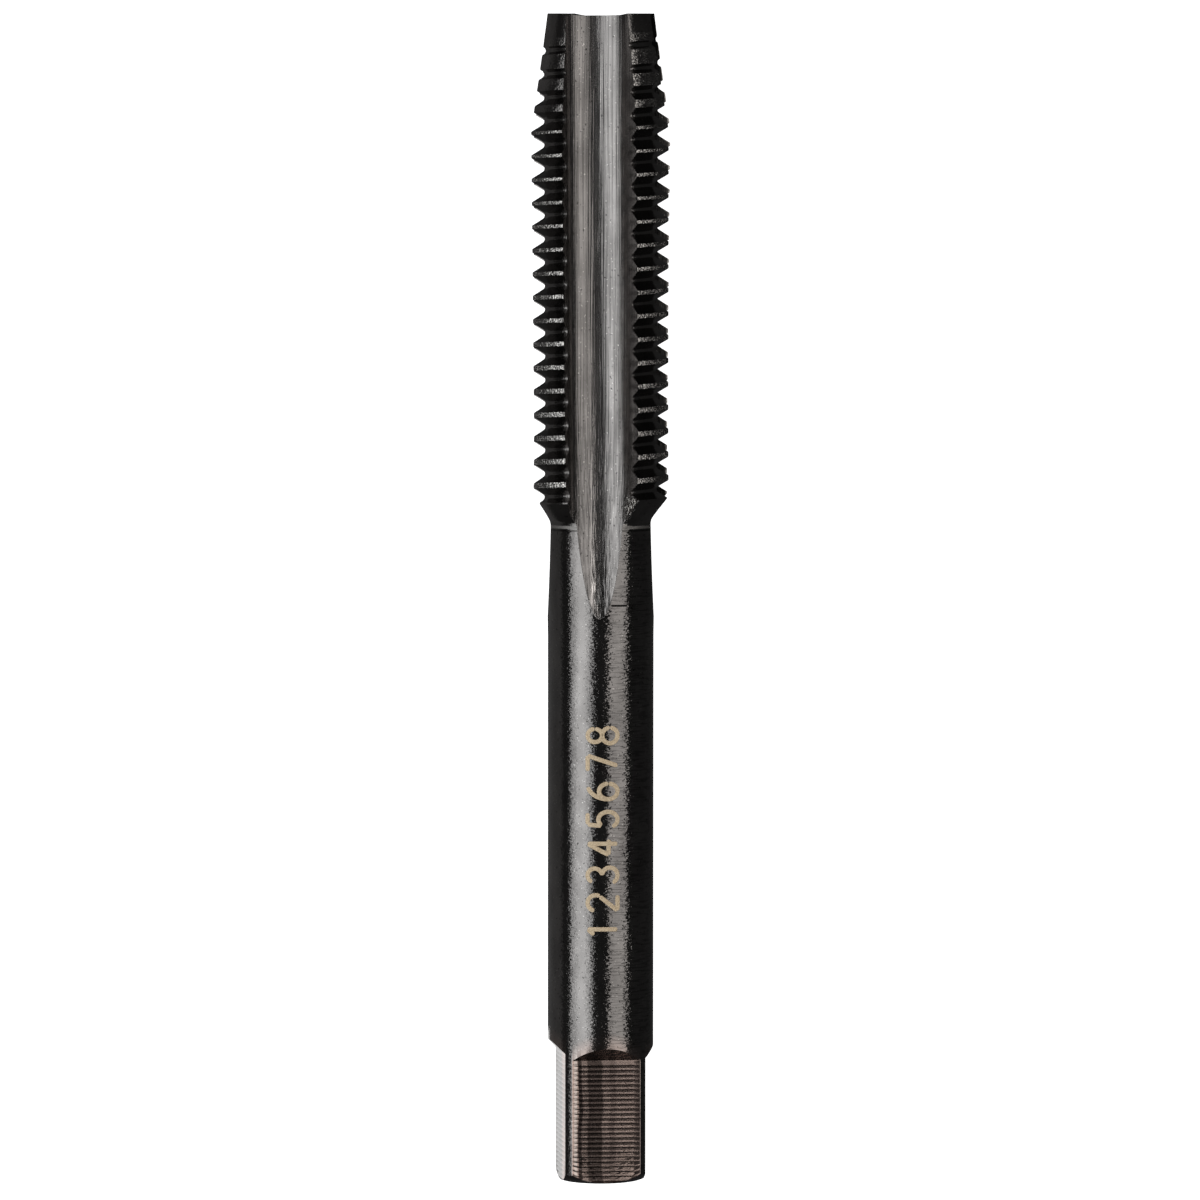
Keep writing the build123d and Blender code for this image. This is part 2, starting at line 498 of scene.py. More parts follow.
        columns: list[Arrays] = []
        edges: list[list[Arrays]] = []
        for q in range(4):
            before, after = (q - 1) % 4, q
            pair = []
            for side, nominal, land in ((-1, z.rake_edge, before), (1, z.heel_edge, after)):
                angle = np.full_like(base, 90.0 * q + side * nominal)
                for _ in range(self.passes):
                    wrapped = angle + (360.0 if q == 0 and side < 0 else 0.0)
                    y, radius = place(wrapped, wrap[land])
                    low = self.line.lowest(y)
                    t = self.line.crossing(y, radius, low, side)
                    x, h = self.line.at(t, y)
                    angle = bearing(q, x, h)
                pair.append((t, y, radius, low, angle))
            edges.append(pair)
        for q in range(4):
            (t0, y0, r0, low, _), (t1, y1, r1, _, _) = edges[q]
            t0, t1 = np.minimum(t0, low - self.bunch), np.maximum(t1, low + self.bunch)
            inner = np.minimum(self.inner_r, np.minimum(r0, r1) - self.inner_step)
            least, most = (share * (t1 - t0) for share in self.inner_share)
            rake_in = np.minimum(self.line.crossing(y0, inner, low, -1), t0 + most)
            heel_in = np.maximum(self.line.crossing(y1, inner, low, 1), t1 - most)
            rake_in, heel_in = np.maximum(rake_in, t0 + least), np.minimum(heel_in, t1 - least)
            for j in range(self.flute_columns + 1):
                if j == 0:
                    t = t0
                elif j == self.flute_columns:
                    t = t1
                else:
                    share = (j - 1) / (self.flute_columns - 2)
                    t = rake_in + (heel_in - rake_in) * share
                across = j / self.flute_columns
                y = y0 + (y1 - y0) * across
                x, h = self.line.at(t, y)
                r = np.hypot(x, h)
                blank = self.blank_radius(y)
                edge_r = r0 + (r1 - r0) * across
                limit = np.where(threaded, np.maximum(edge_r, r), blank)
                limit = np.where(threaded & (j in (0, self.flute_columns)), edge_r, limit)
                pull = np.minimum(limit / r, 1.0)
                x, h = x * pull, h * pull
                r = np.hypot(x, h)
                columns.append((bearing(q, x, h), y, r, smooth(limit - r, 0.0, self.floor_soft)))
            # Land after this flute, between its heel edge and the next cutting edge.
            start = columns[-1][0]
            stop_t, stop_y, _, stop_low, _ = edges[(q + 1) % 4][0]
            x, h = self.line.at(np.minimum(stop_t, stop_low - self.bunch), stop_y)
            stop = bearing(q + 1, x, h)
            for share in np.linspace(self.margin, 1 - self.margin, self.land_columns - 1):
                angle = start + (stop - start) * share
                y, radius = place(angle, wrap[q])
                columns.append((angle, y, radius, np.zeros_like(y)))
        angle, y, radius, floor = (np.stack(c, axis=1) for c in zip(*columns))
        turn = np.radians(angle)
        crest = np.where(threaded, smooth(np.abs(step), 0.85, 1.0), 0.0)[:, None] * (1 - floor)
        return angle, y, radius * np.sin(turn), radius * np.cos(turn), floor, crest

    # ---- shank and square ------------------------------------------------------------------

    def square_angles(self) -> Array:
        """Angle of each column on the square, even across each flat and each corner."""
        z = self.sizes
        half = math.degrees(math.acos(z.flat / z.shank_r))
        per_flat = self.columns // 4 - self.corner_columns
        flat = np.linspace(-half, half, per_flat + 1)
        corner = np.linspace(half, 90.0 - half, self.corner_columns + 1)[1:-1]
        quarter = np.concatenate((flat, corner))
        return np.concatenate([quarter + z.square_turn + 90.0 * q for q in range(4)])

    @property
    def columns(self) -> int:
        """How many columns go round the tool."""
        return 4 * (self.flute_columns + self.land_columns)

    def plain_part(self, rows: list[Row], joint: Array, joint_y: Array) -> Arrays:
        """Points of the rings of the drive end, square, run-ups and shank.

        A flat's points lie at radius a / cos(d), with a the flat's distance from the axis and d the
        angle from its normal, or at the shank's radius where that is less.  Each ring bends along
        Y so that whole rings follow the edges between flat, run-up and shank.

        Args:
            rows: Rings of the end, square, run-up and shank zones.
            joint: Angle of each column where the shank meets the neck's first ring.
            joint_y: Place along Y of that ring, by column.

        Returns:
            Arrays of rings by columns: angle, y, x and height, and the share that is flat.
        """
        z = self.sizes
        angles = self.square_angles()
        quarter = self.columns // 4
        column = np.arange(self.columns)
        q, j = column // quarter, column % quarter
        per_flat = quarter - self.corner_columns
        lengths = np.array(z.flat_lengths + z.flat_lengths[:1])
        over = np.clip((j - per_flat) / self.corner_columns, 0.0, 1.0)
        length = lengths[q] * (1 - over) + lengths[q + 1] * over
        tilt = (angles - z.square_turn + 45.0) % 90.0 - 45.0
        cos_tilt = np.cos(np.radians(tilt))
        flat_r = np.minimum(z.flat / cos_tilt, z.shank_r)
        on_flat = (j <= per_flat)
        inside = np.where((j > 0) & (j < per_flat), 1.0, 0.0)
        end_y = z.round_r - np.sqrt(z.round_r ** 2 - (flat_r - z.end_face_r) ** 2)
        arch_y = length + np.maximum(z.shank_r * cos_tilt - z.flat, self.least_arch)
        out = []
        for row in rows:
            share = row.base
            if row.zone is Zone.END:
                r = z.end_face_r + (flat_r - z.end_face_r) * share
                y = z.round_r - np.sqrt(z.round_r ** 2 - (r - z.end_face_r) ** 2)
                out.append((angles, y, r, np.zeros_like(y)))
            elif row.zone is Zone.SQUARE:
                low, high = z.end_round, min(z.flat_lengths)
                bend = 1 - smooth(np.array(share), low, low + self.foot_reach)
                stretch = smooth(np.array(share), high - self.top_reach, high)
                y = share + (end_y - low) * bend + (length - high) * stretch
                phase = np.abs((y - low) / self.ridge_pitch % 1.0 - 0.5)
                wave = np.clip((self.valley_half - phase) / self.valley_flank, 0.0, 1.0)
                fade = np.clip((high - share) / self.ridge_fade, 0, 1)
                cut = self.ridge_depth * wave * inside * fade
                r = np.where(on_flat, flat_r - cut / cos_tilt, flat_r)
                out.append((angles, y, r, on_flat * 1.0))
            elif row.zone is Zone.RUN_UP:
                y = length + (arch_y - length) * share
                flat_here = z.flat + (y - length)
                r = np.where(on_flat, np.minimum(flat_here / cos_tilt, z.shank_r), z.shank_r)
                out.append((angles, y, r, on_flat * 0.5))
            else:
                y = arch_y + (joint_y - arch_y) * share
                swing = smooth(np.array(share), 0.1, 0.95)
                angle = angles + (joint - angles) * swing
                out.append((angle, y, np.full_like(y, z.shank_r), np.zeros_like(y)))
        angle, y, r, flat = (np.stack(c, axis=0) for c in zip(*out))
        turn = np.radians(angle)
        return angle, y, r * np.sin(turn), r * np.cos(turn), flat

    # ---- damage and edges ------------------------------------------------------------------

    def burrs(self, angle: Array, y: Array, x: Array, up: Array) -> Arrays:
        """Torn metal on the front flute's edges, where the last thread runs out.

        A point is pushed out along its radius by the burr's reach times a bell over the angle from
        the edge, times a window along Y, times the size of a ripple along Y and round the tool.

        Args:
            angle: Angle of each point.
            y: Place of each point along Y.
            x: Place across.
            up: Height.

        Returns:
            The moved x and height, and the share of each point that is torn.
        """
        z = self.sizes
        torn = np.zeros_like(y)
        push = np.zeros_like(y)
        soft = self.burr_soft
        for turn, low, high, size in self.burr_places:
            middle = turn + self.burr_sway * ripple(2.6 * y, 1.0)
            bell = np.exp(-((angle - middle) / self.burr_width) ** 2)
            window = (smooth(y - z.body_end, low, low + soft)
                      * smooth(z.body_end - y, -high, soft - high))
            rough = 0.3 + 0.7 * np.abs(ripple(13.0 * y + 0.7 * angle, 3.0))
            loose = bell * window * rough
            torn = np.maximum(torn, np.clip(loose * self.torn_gain, 0.0, 1.0) * size)
            push += self.burr_reach * size * bell * window * rough
        r = np.hypot(x, up)
        grow = (r + push) / r
        return x * grow, up * grow, torn

    def flute_edges(self, floors: Array) -> Array:
        """Points on the two edges of each flute, where the flute is really cut.

        Args:
            floors: Share of each point that is flute, rings by columns.

        Returns:
            True for each point on an edge, rings by columns.
        """
        quarter = self.flute_columns + self.land_columns
        marks = np.zeros(floors.shape, dtype=bool)
        for q in range(4):
            start, stop = q * quarter, q * quarter + self.flute_columns
            cut = floors[:, start:stop].max(axis=1) > CUT_SHARE
            marks[:, start] = marks[:, stop] = cut
        return marks

    # ---- the whole surface -----------------------------------------------------------------

    def build(self) -> bpy.types.Object:
        """Make the tap's mesh, with shares of flute, flat, crest and worn metal as attributes."""
        z = self.sizes
        rows = self.rows()
        plain = [r for r in rows if r.zone in (Zone.END, Zone.SQUARE, Zone.RUN_UP, Zone.SHANK)]
        rest = rows[len(plain):]
        angle, y, x, up, floor, crest = self.threaded_part(rest)
        x, up, torn = self.burrs(angle, y, x, up)
        first = angle[0]
        _, y2, x2, up2, flat = self.plain_part(plain, first, y[0])
        y2, x2, up2, flat = y2[:-1], x2[:-1], up2[:-1], flat[:-1]
        ys, xs, zs = np.vstack((y2, y)), np.vstack((x2, x)), np.vstack((up2, up))
        flats = np.vstack((flat, np.zeros_like(y)))
        floors = np.vstack((np.zeros_like(y2), floor))
        crests = np.vstack((np.zeros_like(y2), crest))
        worn = np.vstack((np.zeros_like(y2), torn))
        # The tip's face is dished: its height falls with the distance from its rim.
        r = np.hypot(xs[-1], zs[-1])
        ys[-1] = z.length - z.tip_dish * (1 - r / z.tip_r)
        turn = np.arctan2(xs[-1], zs[-1])
        hole_depth = z.hole_r / math.tan(math.radians(z.hole_angle))
        caps = []
        for share in self.cap_shares:
            rr = r * (1 - share) + z.hole_r * share
            caps.append((rr * np.sin(turn), z.length - z.tip_dish * (1 - rr / z.tip_r),
                         rr * np.cos(turn)))
        cap_x, cap_y, cap_z = (np.array(c) for c in zip(*caps))
        foot_turn = np.arctan2(xs[0], zs[0])
        xs = np.vstack((z.hole_r * np.sin(foot_turn), xs, cap_x))
        ys = np.vstack((np.zeros_like(foot_turn), ys, cap_y))
        zs = np.vstack((z.hole_r * np.cos(foot_turn), zs, cap_z))

        def pad(values: Array) -> Array:
            """Add zero rows for the two end faces."""
            return np.pad(values, ((1, len(caps)), (0, 0)))

        points = np.stack((xs, ys, zs), axis=-1).reshape(-1, 3)
        poles = np.array([[0.0, hole_depth, 0.0], [0.0, z.length - z.tip_dish - hole_depth, 0.0]])
        points = np.vstack((points, poles)) * MM
        obj = grid_object("tap_body", points, *xs.shape, self.flute_edges(pad(floors)))
        shares = (("flute", floors), ("flat", flats), ("crest", crests), ("worn", worn))
        for name, values in shares:
            attribute = obj.data.attributes.new(name, "FLOAT", "POINT")
            flat_values = np.concatenate((pad(values).ravel(), [0.0, 0.0])).astype(np.float32)
            attribute.data.foreach_set("value", flat_values)
        return obj


def grid_object(name: str, points: Array, rings: int, columns: int,
                marks: Array) -> bpy.types.Object:
    """Close a grid of rings into a solid, with a fan of triangles to a pole at each end.

    Args:
        name: Name of the new object.
        points: Ring points in order, then the pole of the first ring and of the last.
        rings: How many rings there are.
        columns: How many points each ring has.
        marks: True for the points whose column is a sharp edge, rings by columns.

    Returns:
        The object, linked to the scene, shaded smooth with its sharp edges marked.
    """
    index = np.arange(rings * columns).reshape(rings, columns)
    right = np.roll(index, -1, axis=1)
    quads = np.stack((index[:-1], right[:-1], right[1:], index[1:]), axis=-1).reshape(-1, 4)
    first, last = rings * columns, rings * columns + 1
    low = np.stack((right[0], index[0], np.full(columns, first)), axis=-1)
    high = np.stack((index[-1], right[-1], np.full(columns, last)), axis=-1)
    mesh = bpy.data.meshes.new(name)
    mesh.from_pydata(points.tolist(), [], quads.tolist() + low.tolist() + high.tolist())
    mesh.validate()
    mesh.update()
    mesh.shade_smooth()
    mesh.set_sharp_from_angle(angle=math.radians(SHARP_ANGLE))
    ends = np.empty(len(mesh.edges) * 2, dtype=np.int32)
    mesh.edges.foreach_get("vertices", ends)
    ends = ends.reshape(-1, 2)
    marked = np.concatenate((marks.ravel(), [False, False]))
    on_column = (ends[:, 0] % columns == ends[:, 1] % columns) & (ends.max(axis=1) < first)
    sharp = np.empty(len(mesh.edges), dtype=bool)
    layer = mesh.attributes["sharp_edge"]
    layer.data.foreach_get("value", sharp)
    layer.data.foreach_set("value", sharp | (on_column & marked[ends[:, 0]] & marked[ends[:, 1]]))
    return link_object(name, mesh)


def signed_volume(obj: bpy.types.Object) -> float:
    """Volume inside a mesh, in cubic millimetres: negative if its faces look inwards."""
    mesh = obj.data
    mesh.calc_loop_triangles()
    points = mesh_points(mesh)
    index = np.empty(len(mesh.loop_triangles) * 3, dtype=np.int64)
    mesh.loop_triangles.foreach_get("vertices", index)
    a, b, c = (points[index.reshape(-1, 3)[:, i]] for i in range(3))
    return float(np.einsum("ij,ij->i", a, np.cross(b, c)).sum() / 6)


def set_socket(tree: bpy.types.NodeTree, socket: Socket, value: object) -> None:
    """Link a socket to another one, or set its own value."""
    if isinstance(value, Socket):
        tree.links.new(value, socket)
    else:
        socket.default_value = value


def mix_colours(tree: bpy.types.NodeTree, factor: object, a: object, b: object) -> Socket:
    """Colour between a and b, from a new node."""
    node = tree.nodes.new("ShaderNodeMix")
    node.data_type = "RGBA"
    sockets = {s.identifier: s for s in node.inputs}
    for name, value in (("Factor_Float", factor), ("A_Color", a), ("B_Color", b)):
        set_socket(tree, sockets[name], value)
    return next(s for s in node.outputs if s.identifier == "Result_Color")


class ShaderMaker:
    """Short calls for one material's nodes.  Patterns lie on Object coordinates, in millimetres."""

    def __init__(self, name: str) -> None:
        """Start the material, with its coordinates in millimetres ready.

        Args:
            name: Name of the material.
        """
        self.material = bpy.data.materials.new(name)
        self.material.use_nodes = True
        self.tree = self.material.node_tree
        self.shader = self.tree.nodes["Principled BSDF"]
        place = self.node("TexCoord").outputs["Object"]
        self.place = self.vector("MULTIPLY", place, (1 / MM, 1 / MM, 1 / MM))
        self.x, self.y, self.z = self.node("SeparateXYZ", self.place).outputs

    def node(self, kind: str, *values: object, **settings: object) -> bpy.types.Node:
        """Make a node, with its settings and the values of its first inputs."""
        node = self.tree.nodes.new("ShaderNode" + kind)
        for name, value in settings.items():
            setattr(node, name, value)
        for socket, value in zip(node.inputs, values):
            set_socket(self.tree, socket, value)
        return node

    def vector(self, operation: str, a: object, b: object) -> Socket:
        """Result of a vector operation."""
        return self.node("VectorMath", a, b, operation=operation).outputs[0]

    def math(self, operation: str, a: object, b: object) -> Socket:
        """Result of a number operation."""
        return self.node("Math", a, b, operation=operation).outputs[0]

    def times(self, *values: object) -> Socket:
        """Product of several values."""
        return reduce(partial(self.math, "MULTIPLY"), values)

    def plus(self, *values: object) -> Socket:
        """Sum of several values."""
        return reduce(partial(self.math, "ADD"), values)

    def larger(self, a: object, b: object) -> Socket:
        """The larger of two values."""
        return self.math("MAXIMUM", a, b)

    def step(self, value: object, low: float, high: float, start: float = 0.0, end: float = 1.0
             ) -> Socket:
        """Smooth step from start to end as the value goes from low to high."""
        return self.node("MapRange", value, low, high, start, end,
                         interpolation_type="SMOOTHSTEP").outputs[0]

    def fade(self, share: object, end: float) -> Socket:
        """1 where a share is 0, going to end where it is 1."""
        return self.step(share, 0.0, 1.0, 1.0, end)

    def outside(self, share: object) -> Socket:
        """1 well outside an area, given by its share, and 0 well inside."""
        return self.step(share, 0.2, 0.8, 1.0, 0.0)

    def window(self, value: object, low: float, high: float, soft: float) -> Socket:
        """1 where the value lies between low and high, fading to 0 over a soft edge."""
        return self.times(self.step(value, low - soft / 2, low + soft / 2),
                          self.step(value, high - soft / 2, high + soft / 2, 1.0, 0.0))

    def noise(self, size: Floats, shift: float = 0.0, detail: float = 1.0) -> Socket:
        """Noise about 0.5 whose cells have the given size along each axis, in millimetres."""
        scaled = self.vector("MULTIPLY", self.place, tuple(1 / v for v in size))
        node = self.node("TexNoise", self.vector("ADD", scaled, (shift, shift, shift)))
        node.inputs["Scale"].default_value = 1.0
        node.inputs["Detail"].default_value = detail
        return node.outputs[0]

    def share(self, name: str) -> Socket:
        """One of the mesh's own point attributes."""
        return self.node("Attribute", attribute_name=name).outputs["Fac"]

    def blend(self, factor: object, a: object, b: object) -> Socket:
        """Colour between a and b."""
        return mix_colours(self.tree, factor, a, b)

    def scale(self, colour: object, factor: object) -> Socket:
        """Colour made brighter or darker by a factor."""
        node = self.node("VectorMath", colour, operation="SCALE")
        set_socket(self.tree, node.inputs["Scale"], factor)
        return node.outputs[0]

    def bump(self, height: object) -> None:
        """Raise the surface by a height in thousandths of a millimetre."""
        node = self.node("Bump")
        for name, value in (("Strength", 1.0), ("Distance", MM / 1000), ("Height", height)):
            set_socket(self.tree, node.inputs[name], value)
        set_socket(self.tree, self.shader.inputs["Normal"], node.outputs[0])

    def coat(self, colour: object, roughness: object, metallic: float) -> bpy.types.Material:
        """Give the surface its colour, roughness and share of metal, and return the material."""
        for name, value in (("Base Color", colour), ("Roughness", roughness),
                            ("Metallic", metallic)):
            set_socket(self.tree, self.shader.inputs[name], value)
        return self.material


def rgba(colour: Floats) -> Floats:
    """A colour with full cover."""
    return colour + (1.0,)


@dataclass(frozen=True)
class Zones:
    """Shares of the surface, from 0 to 1, that are worked, worn or marked in their own way."""

    flute: Socket
    flat: Socket
    crest: Socket
    worn: Socket
    on_body: Socket
    on_lead: Socket
    on_shank: Socket
    front: Socket
    nick: Socket


@dataclass
class OxideFinish:
    """Black oxide on ground steel.  Sizes are in mm, heights in thousandths of a millimetre.

    A cell is a noise's size along each axis, and a window is its low and high end and its soft
    edge.  Single marks, such as the nick, lie where their windows put them.  The factors that end
    in light or shade multiply the colour in a small area.  They were fitted to the tones of one
    view under the studio's lights and aren't properties of the steel, so in other light they may
    look too strong.  floor_light and run_out_light are painted highlight on the front flute's
    floor, and wall_shade and ring_shade painted shade on the back-right flute's wall and under
    the neck's ring.
    """

    sizes: TapSizes
    colour: Floats = (0.2, 0.19, 0.185)
    flat_colour: Floats = (0.46, 0.355, 0.315)
    bare_colour: Floats = (0.92, 0.89, 0.85)
    roughness: float = 0.115
    grain_cell: Floats = (0.1, 0.1, 0.1)
    grain_height: float = 8.0
    grind_cell: Floats = (0.38, 0.11, 0.38)
    grind_height: float = 44.0
    crest_cell: Floats = (0.11, 0.11, 0.11)
    crest_height: float = 60.0
    torn_cell: Floats = (0.12, 0.12, 0.12)
    torn_height: float = 300.0
    streak_cell: Floats = (0.1, 9.0, 0.1)
    streak_height: float = 16.0
    finger_cell: Floats = (0.2, 3.5, 0.2)
    finger_height: float = 26.0
    nick_height: float = -40.0
    nick_x: Floats = (0.7, 1.7, 0.15)
    nick_y: Floats = (37.18, 37.27, 0.04)
    nick_shade: float = 0.08
    score_x: Floats = (-0.5, 0.5, 0.2)
    score_y: Floats = (35.8, 39.0, 0.5)
    score_shade: float = 0.3
    # Painted highlight on the middle of the front flute's floor, brighter again where the flute
    # runs out.
    floor_x: Floats = (-0.62, 0.02, 0.45)
    floor_light: float = 2.3
    run_out_y: Floats = (35.6, 38.8, 1.2)
    run_out_light: float = 1.9
    # wall_shade is painted shade on the back-right flute's wall.
    wall_shade: float = 0.15
    speck_shade: float = 0.35
    comb_shade: float = 0.62
    # Worn edge and painted highlight: bare colour along the left margin of the flat that looks up.
    rim_x: Floats = (-1.68, -1.5, 0.06)
    rim_wear_and_highlight: float = 0.25
    glint_bare: float = 0.3
    # Painted highlight at the neck: a ring of bare colour from ring_drop below its top, in place of
    # the light on the cone's fillet, with a line of painted shade beneath.
    ring_drop: float = 0.36
    ring_width: float = 0.2
    neck_ring_highlight: float = 0.16
    ring_shade: float = 0.45
    # Painted shade in stripes on the flat that looks up, in place of the shade of its slight
    # slopes: low and high end along X, soft edge, and depth of tone.
    painted_shade_stripes: tuple[Floats, ...] = (
        (-1.42, -1.18, 0.08, 0.75), (-0.8, 0.14, 0.16, 0.68), (0.6, 0.98, 0.12, 0.3))

    def __post_init__(self) -> None:
        """Start the material and find its zones."""
        self.m = ShaderMaker("black_oxide_steel")
        self.zones = self.find_zones()
        self.streak = self.m.noise(self.streak_cell, 3.0, 3.0)
        self.ring_low = self.sizes.neck_top - self.ring_drop

    def find_zones(self) -> Zones:
        """Where the surface is worked or worn in its own way.

        The walls beside the lands are one face wide, so the mesh's shares of flute and crest are
        cut back to steps.
        """
        m, sizes = self.m, self.sizes
        flute, flat = m.step(m.share("flute"), 0.02, 0.2), m.share("flat")
        front = m.step(m.z, 0.5, 1.5)
        return Zones(
            flute=flute,
            flat=flat,
            crest=m.step(m.share("crest"), 0.85, 1.0),
            worn=m.times(m.share("worn"),
                         m.step(m.noise((0.13, 0.26, 0.13), 57.0, 2.0), 0.49, 0.56)),
            on_body=m.step(m.y, sizes.body_end - 0.1, sizes.body_end + 0.1),
            on_lead=m.step(m.y, sizes.length - 8.2, sizes.length - 6.4),
            on_shank=m.times(m.step(m.y, sizes.neck_top - 0.2, sizes.neck_top + 0.1, 1.0, 0.0),
                             m.outside(flute), m.outside(flat)),
            front=front,
            nick=m.times(m.window(m.y, *self.nick_y), m.window(m.x, *self.nick_x), front))

    def make(self) -> bpy.types.Material:
        """Build the material.

        Grain covers everything.  Grinding lines run round the shank, streaks run along the
        flutes, and the flats are browner.  Crests and burrs show worn metal; the ring at the neck
        is a painted highlight of bare colour.
        """
        m, on = self.m, self.zones
        grain = m.noise(self.grain_cell)
        calm = m.times(m.fade(on.flute, 0.1), m.fade(on.flat, 0.06))
        m.bump(self.relief(m.times(grain, self.grain_height, calm)))

        tone = m.blend(m.times(on.flat, on.front), rgba(self.colour), rgba(self.flat_colour))
        dull_lead = m.times(on.on_lead, m.step(m.x, 0.5, -0.5))
        patch = m.times(on.crest, on.on_body,
                        m.step(m.noise((0.12, 0.08, 0.12), 41.0, 2.0), 0.48, 0.54),
                        m.step(m.noise((0.7, 0.9, 0.7), 47.0), 0.35, 0.6, 0.3, 0.85),
                        m.fade(on.on_lead, 0.55), m.fade(dull_lead, 0.1))
        # Painted highlight: a ring of bare colour round the neck, with more roughness.
        ring = m.times(m.window(m.y, self.ring_low, self.ring_low + self.ring_width, 0.08),
                       m.outside(on.flute))
        # Worn edge and painted highlight on the flat that looks up.
        rim = m.times(on.flat, on.front, m.window(m.x, *self.rim_x), self.rim_wear_and_highlight)
        glint = m.step(m.noise((0.09, 0.09, 0.09), 31.0, 0.0), 0.77, 0.82)
        bare = m.larger(m.larger(on.worn, m.larger(patch, rim)),
                        m.larger(m.times(ring, self.neck_ring_highlight), m.times(glint, self.glint_bare)))
        # Each area adds its own roughness.
        areas = ((on.flute, 0.085), (on.flat, 0.06), (patch, 0.3), (on.worn, 0.06), (ring, 0.4))
        rough = m.plus(self.roughness, *(m.times(area, more) for area, more in areas),
                       m.times(m.math("SUBTRACT", grain, 0.5), 0.12, calm))
        colour = m.blend(bare, m.scale(tone, self.shade()), rgba(self.bare_colour))
        return m.coat(colour, rough, 1.0)

    def relief(self, grain: object) -> Socket:
        """Height of all the fine relief, in thousandths of a millimetre.

        Args:
            grain: Height of the grain.

        Returns:
            The height of grain, grinding lines, streaks, worn and torn metal, and the nick.
        """
        m, on, neck = self.m, self.zones, self.sizes.neck_top
        run_out = m.window(m.y, neck - 8.2, neck - 2.6, 2.0)
        side = m.step(m.x, -0.6, 0.9, 0.55, 1.0)
        height = m.plus(
            grain,
            m.times(m.noise(self.torn_cell, 53.0, 2.0), on.worn, self.torn_height),
            m.times(m.noise(self.grind_cell, 7.0), self.grind_height, on.on_shank, side),
            m.times(m.noise(self.crest_cell, 71.0), on.crest, on.on_body,
                    m.fade(on.on_lead, 0.3), self.crest_height),
            m.times(self.streak, self.streak_height, on.flute),
            m.times(m.noise(self.finger_cell, 11.0), self.finger_height, on.flute, run_out))
        return m.plus(height, m.times(on.nick, self.nick_height))

    def shade(self) -> Socket:
        """What to multiply the colour by: clouds, lines along the flutes, specks, single marks, and
        painted highlight and painted shade on the flutes, under the neck's ring and in the flat's
        stripes.
        """
        m, flute, front = self.m, self.zones.flute, self.zones.front
        cloud = m.step(m.noise((1.1, 2.4, 1.1), 5.0, 3.0), 0.3, 0.7, 0.84, 1.14)
        lines = m.times(m.step(self.streak, 0.36, 0.64, 0.72, 1.2), flute)
        # Painted shade on the back-right flute's wall.
        wall = m.times(flute, m.step(m.x, 1.5, 2.5), m.step(m.z, -1.2, -1.7))
        # Painted highlight on the middle of the front flute's floor.
        floor = m.times(flute, front, m.window(m.x, *self.floor_x))
        # Painted shade: a dark line under the neck's ring.
        ring = m.times(m.window(m.y, self.ring_low - 0.17, self.ring_low - 0.05, 0.06),
                       m.outside(flute))
        comb = m.times(m.step(m.noise((1.1, 0.1, 1.1), 67.0), 0.5, 0.62), self.zones.on_shank,
                       front, m.step(m.x, 0.1, 0.7))
        score = m.times(m.step(m.noise((0.075, 5.0, 0.075), 61.0, 0.0), 0.5, 0.66), flute, front,
                        m.window(m.x, *self.score_x), m.window(m.y, *self.score_y))
        marks = (
            (wall, self.wall_shade),
            (floor, self.floor_light),
            (m.times(floor, m.window(m.y, *self.run_out_y)), self.run_out_light),
            (ring, self.ring_shade),
            (m.step(m.noise((0.13, 0.16, 0.13), 23.0, 0.0), 0.755, 0.80), self.speck_shade),
            (self.zones.nick, self.nick_shade),
            (comb, self.comb_shade),
            (score, self.score_shade))
        return m.times(cloud, m.plus(lines, m.fade(flute, 0.0)),
                       *(m.fade(mark, factor) for mark, factor in marks), self.painted_stripe_shade())

    def painted_stripe_shade(self) -> Socket:
        """Painted shade: darker stripes along the flat that looks up, in place of the shade of its
        slight slopes: 1 elsewhere.
        """
        m = self.m
        wavy = m.plus(m.x, m.times(m.math("SUBTRACT", m.noise((4.0, 1.3, 4.0), 13.0), 0.5), 0.3))
        dark = m.plus(*(m.times(m.window(wavy, *edges), depth) for *edges, depth in self.painted_shade_stripes))
        on_flat = m.step(self.zones.flat, 0.2, 0.8)
        return m.math("SUBTRACT", 1.0, m.times(dark, on_flat, self.zones.front))


@dataclass(frozen=True)
class PrintFinish:
    """Tan print, slightly uneven, with its height in thousandths of a millimetre."""

    colour: Floats = (0.80, 0.64, 0.44)
    thin_colour: Floats = (0.58, 0.44, 0.28)
    cell: Floats = (0.08, 0.08, 0.08)
    height: float = 4.0
    roughness: float = 0.6

    def make(self) -> bpy.types.Material:
        """Build the material: two tones of tan mixed by a fine noise, with a little height."""
        m = ShaderMaker("tan_print")
        fine = m.noise(self.cell, 3.0, 2.0)
        m.bump(m.times(fine, self.height))
        tone = m.blend(m.step(fine, 0.35, 0.6), rgba(self.thin_colour), rgba(self.colour))
        return m.coat(tone, self.roughness, 0.0)


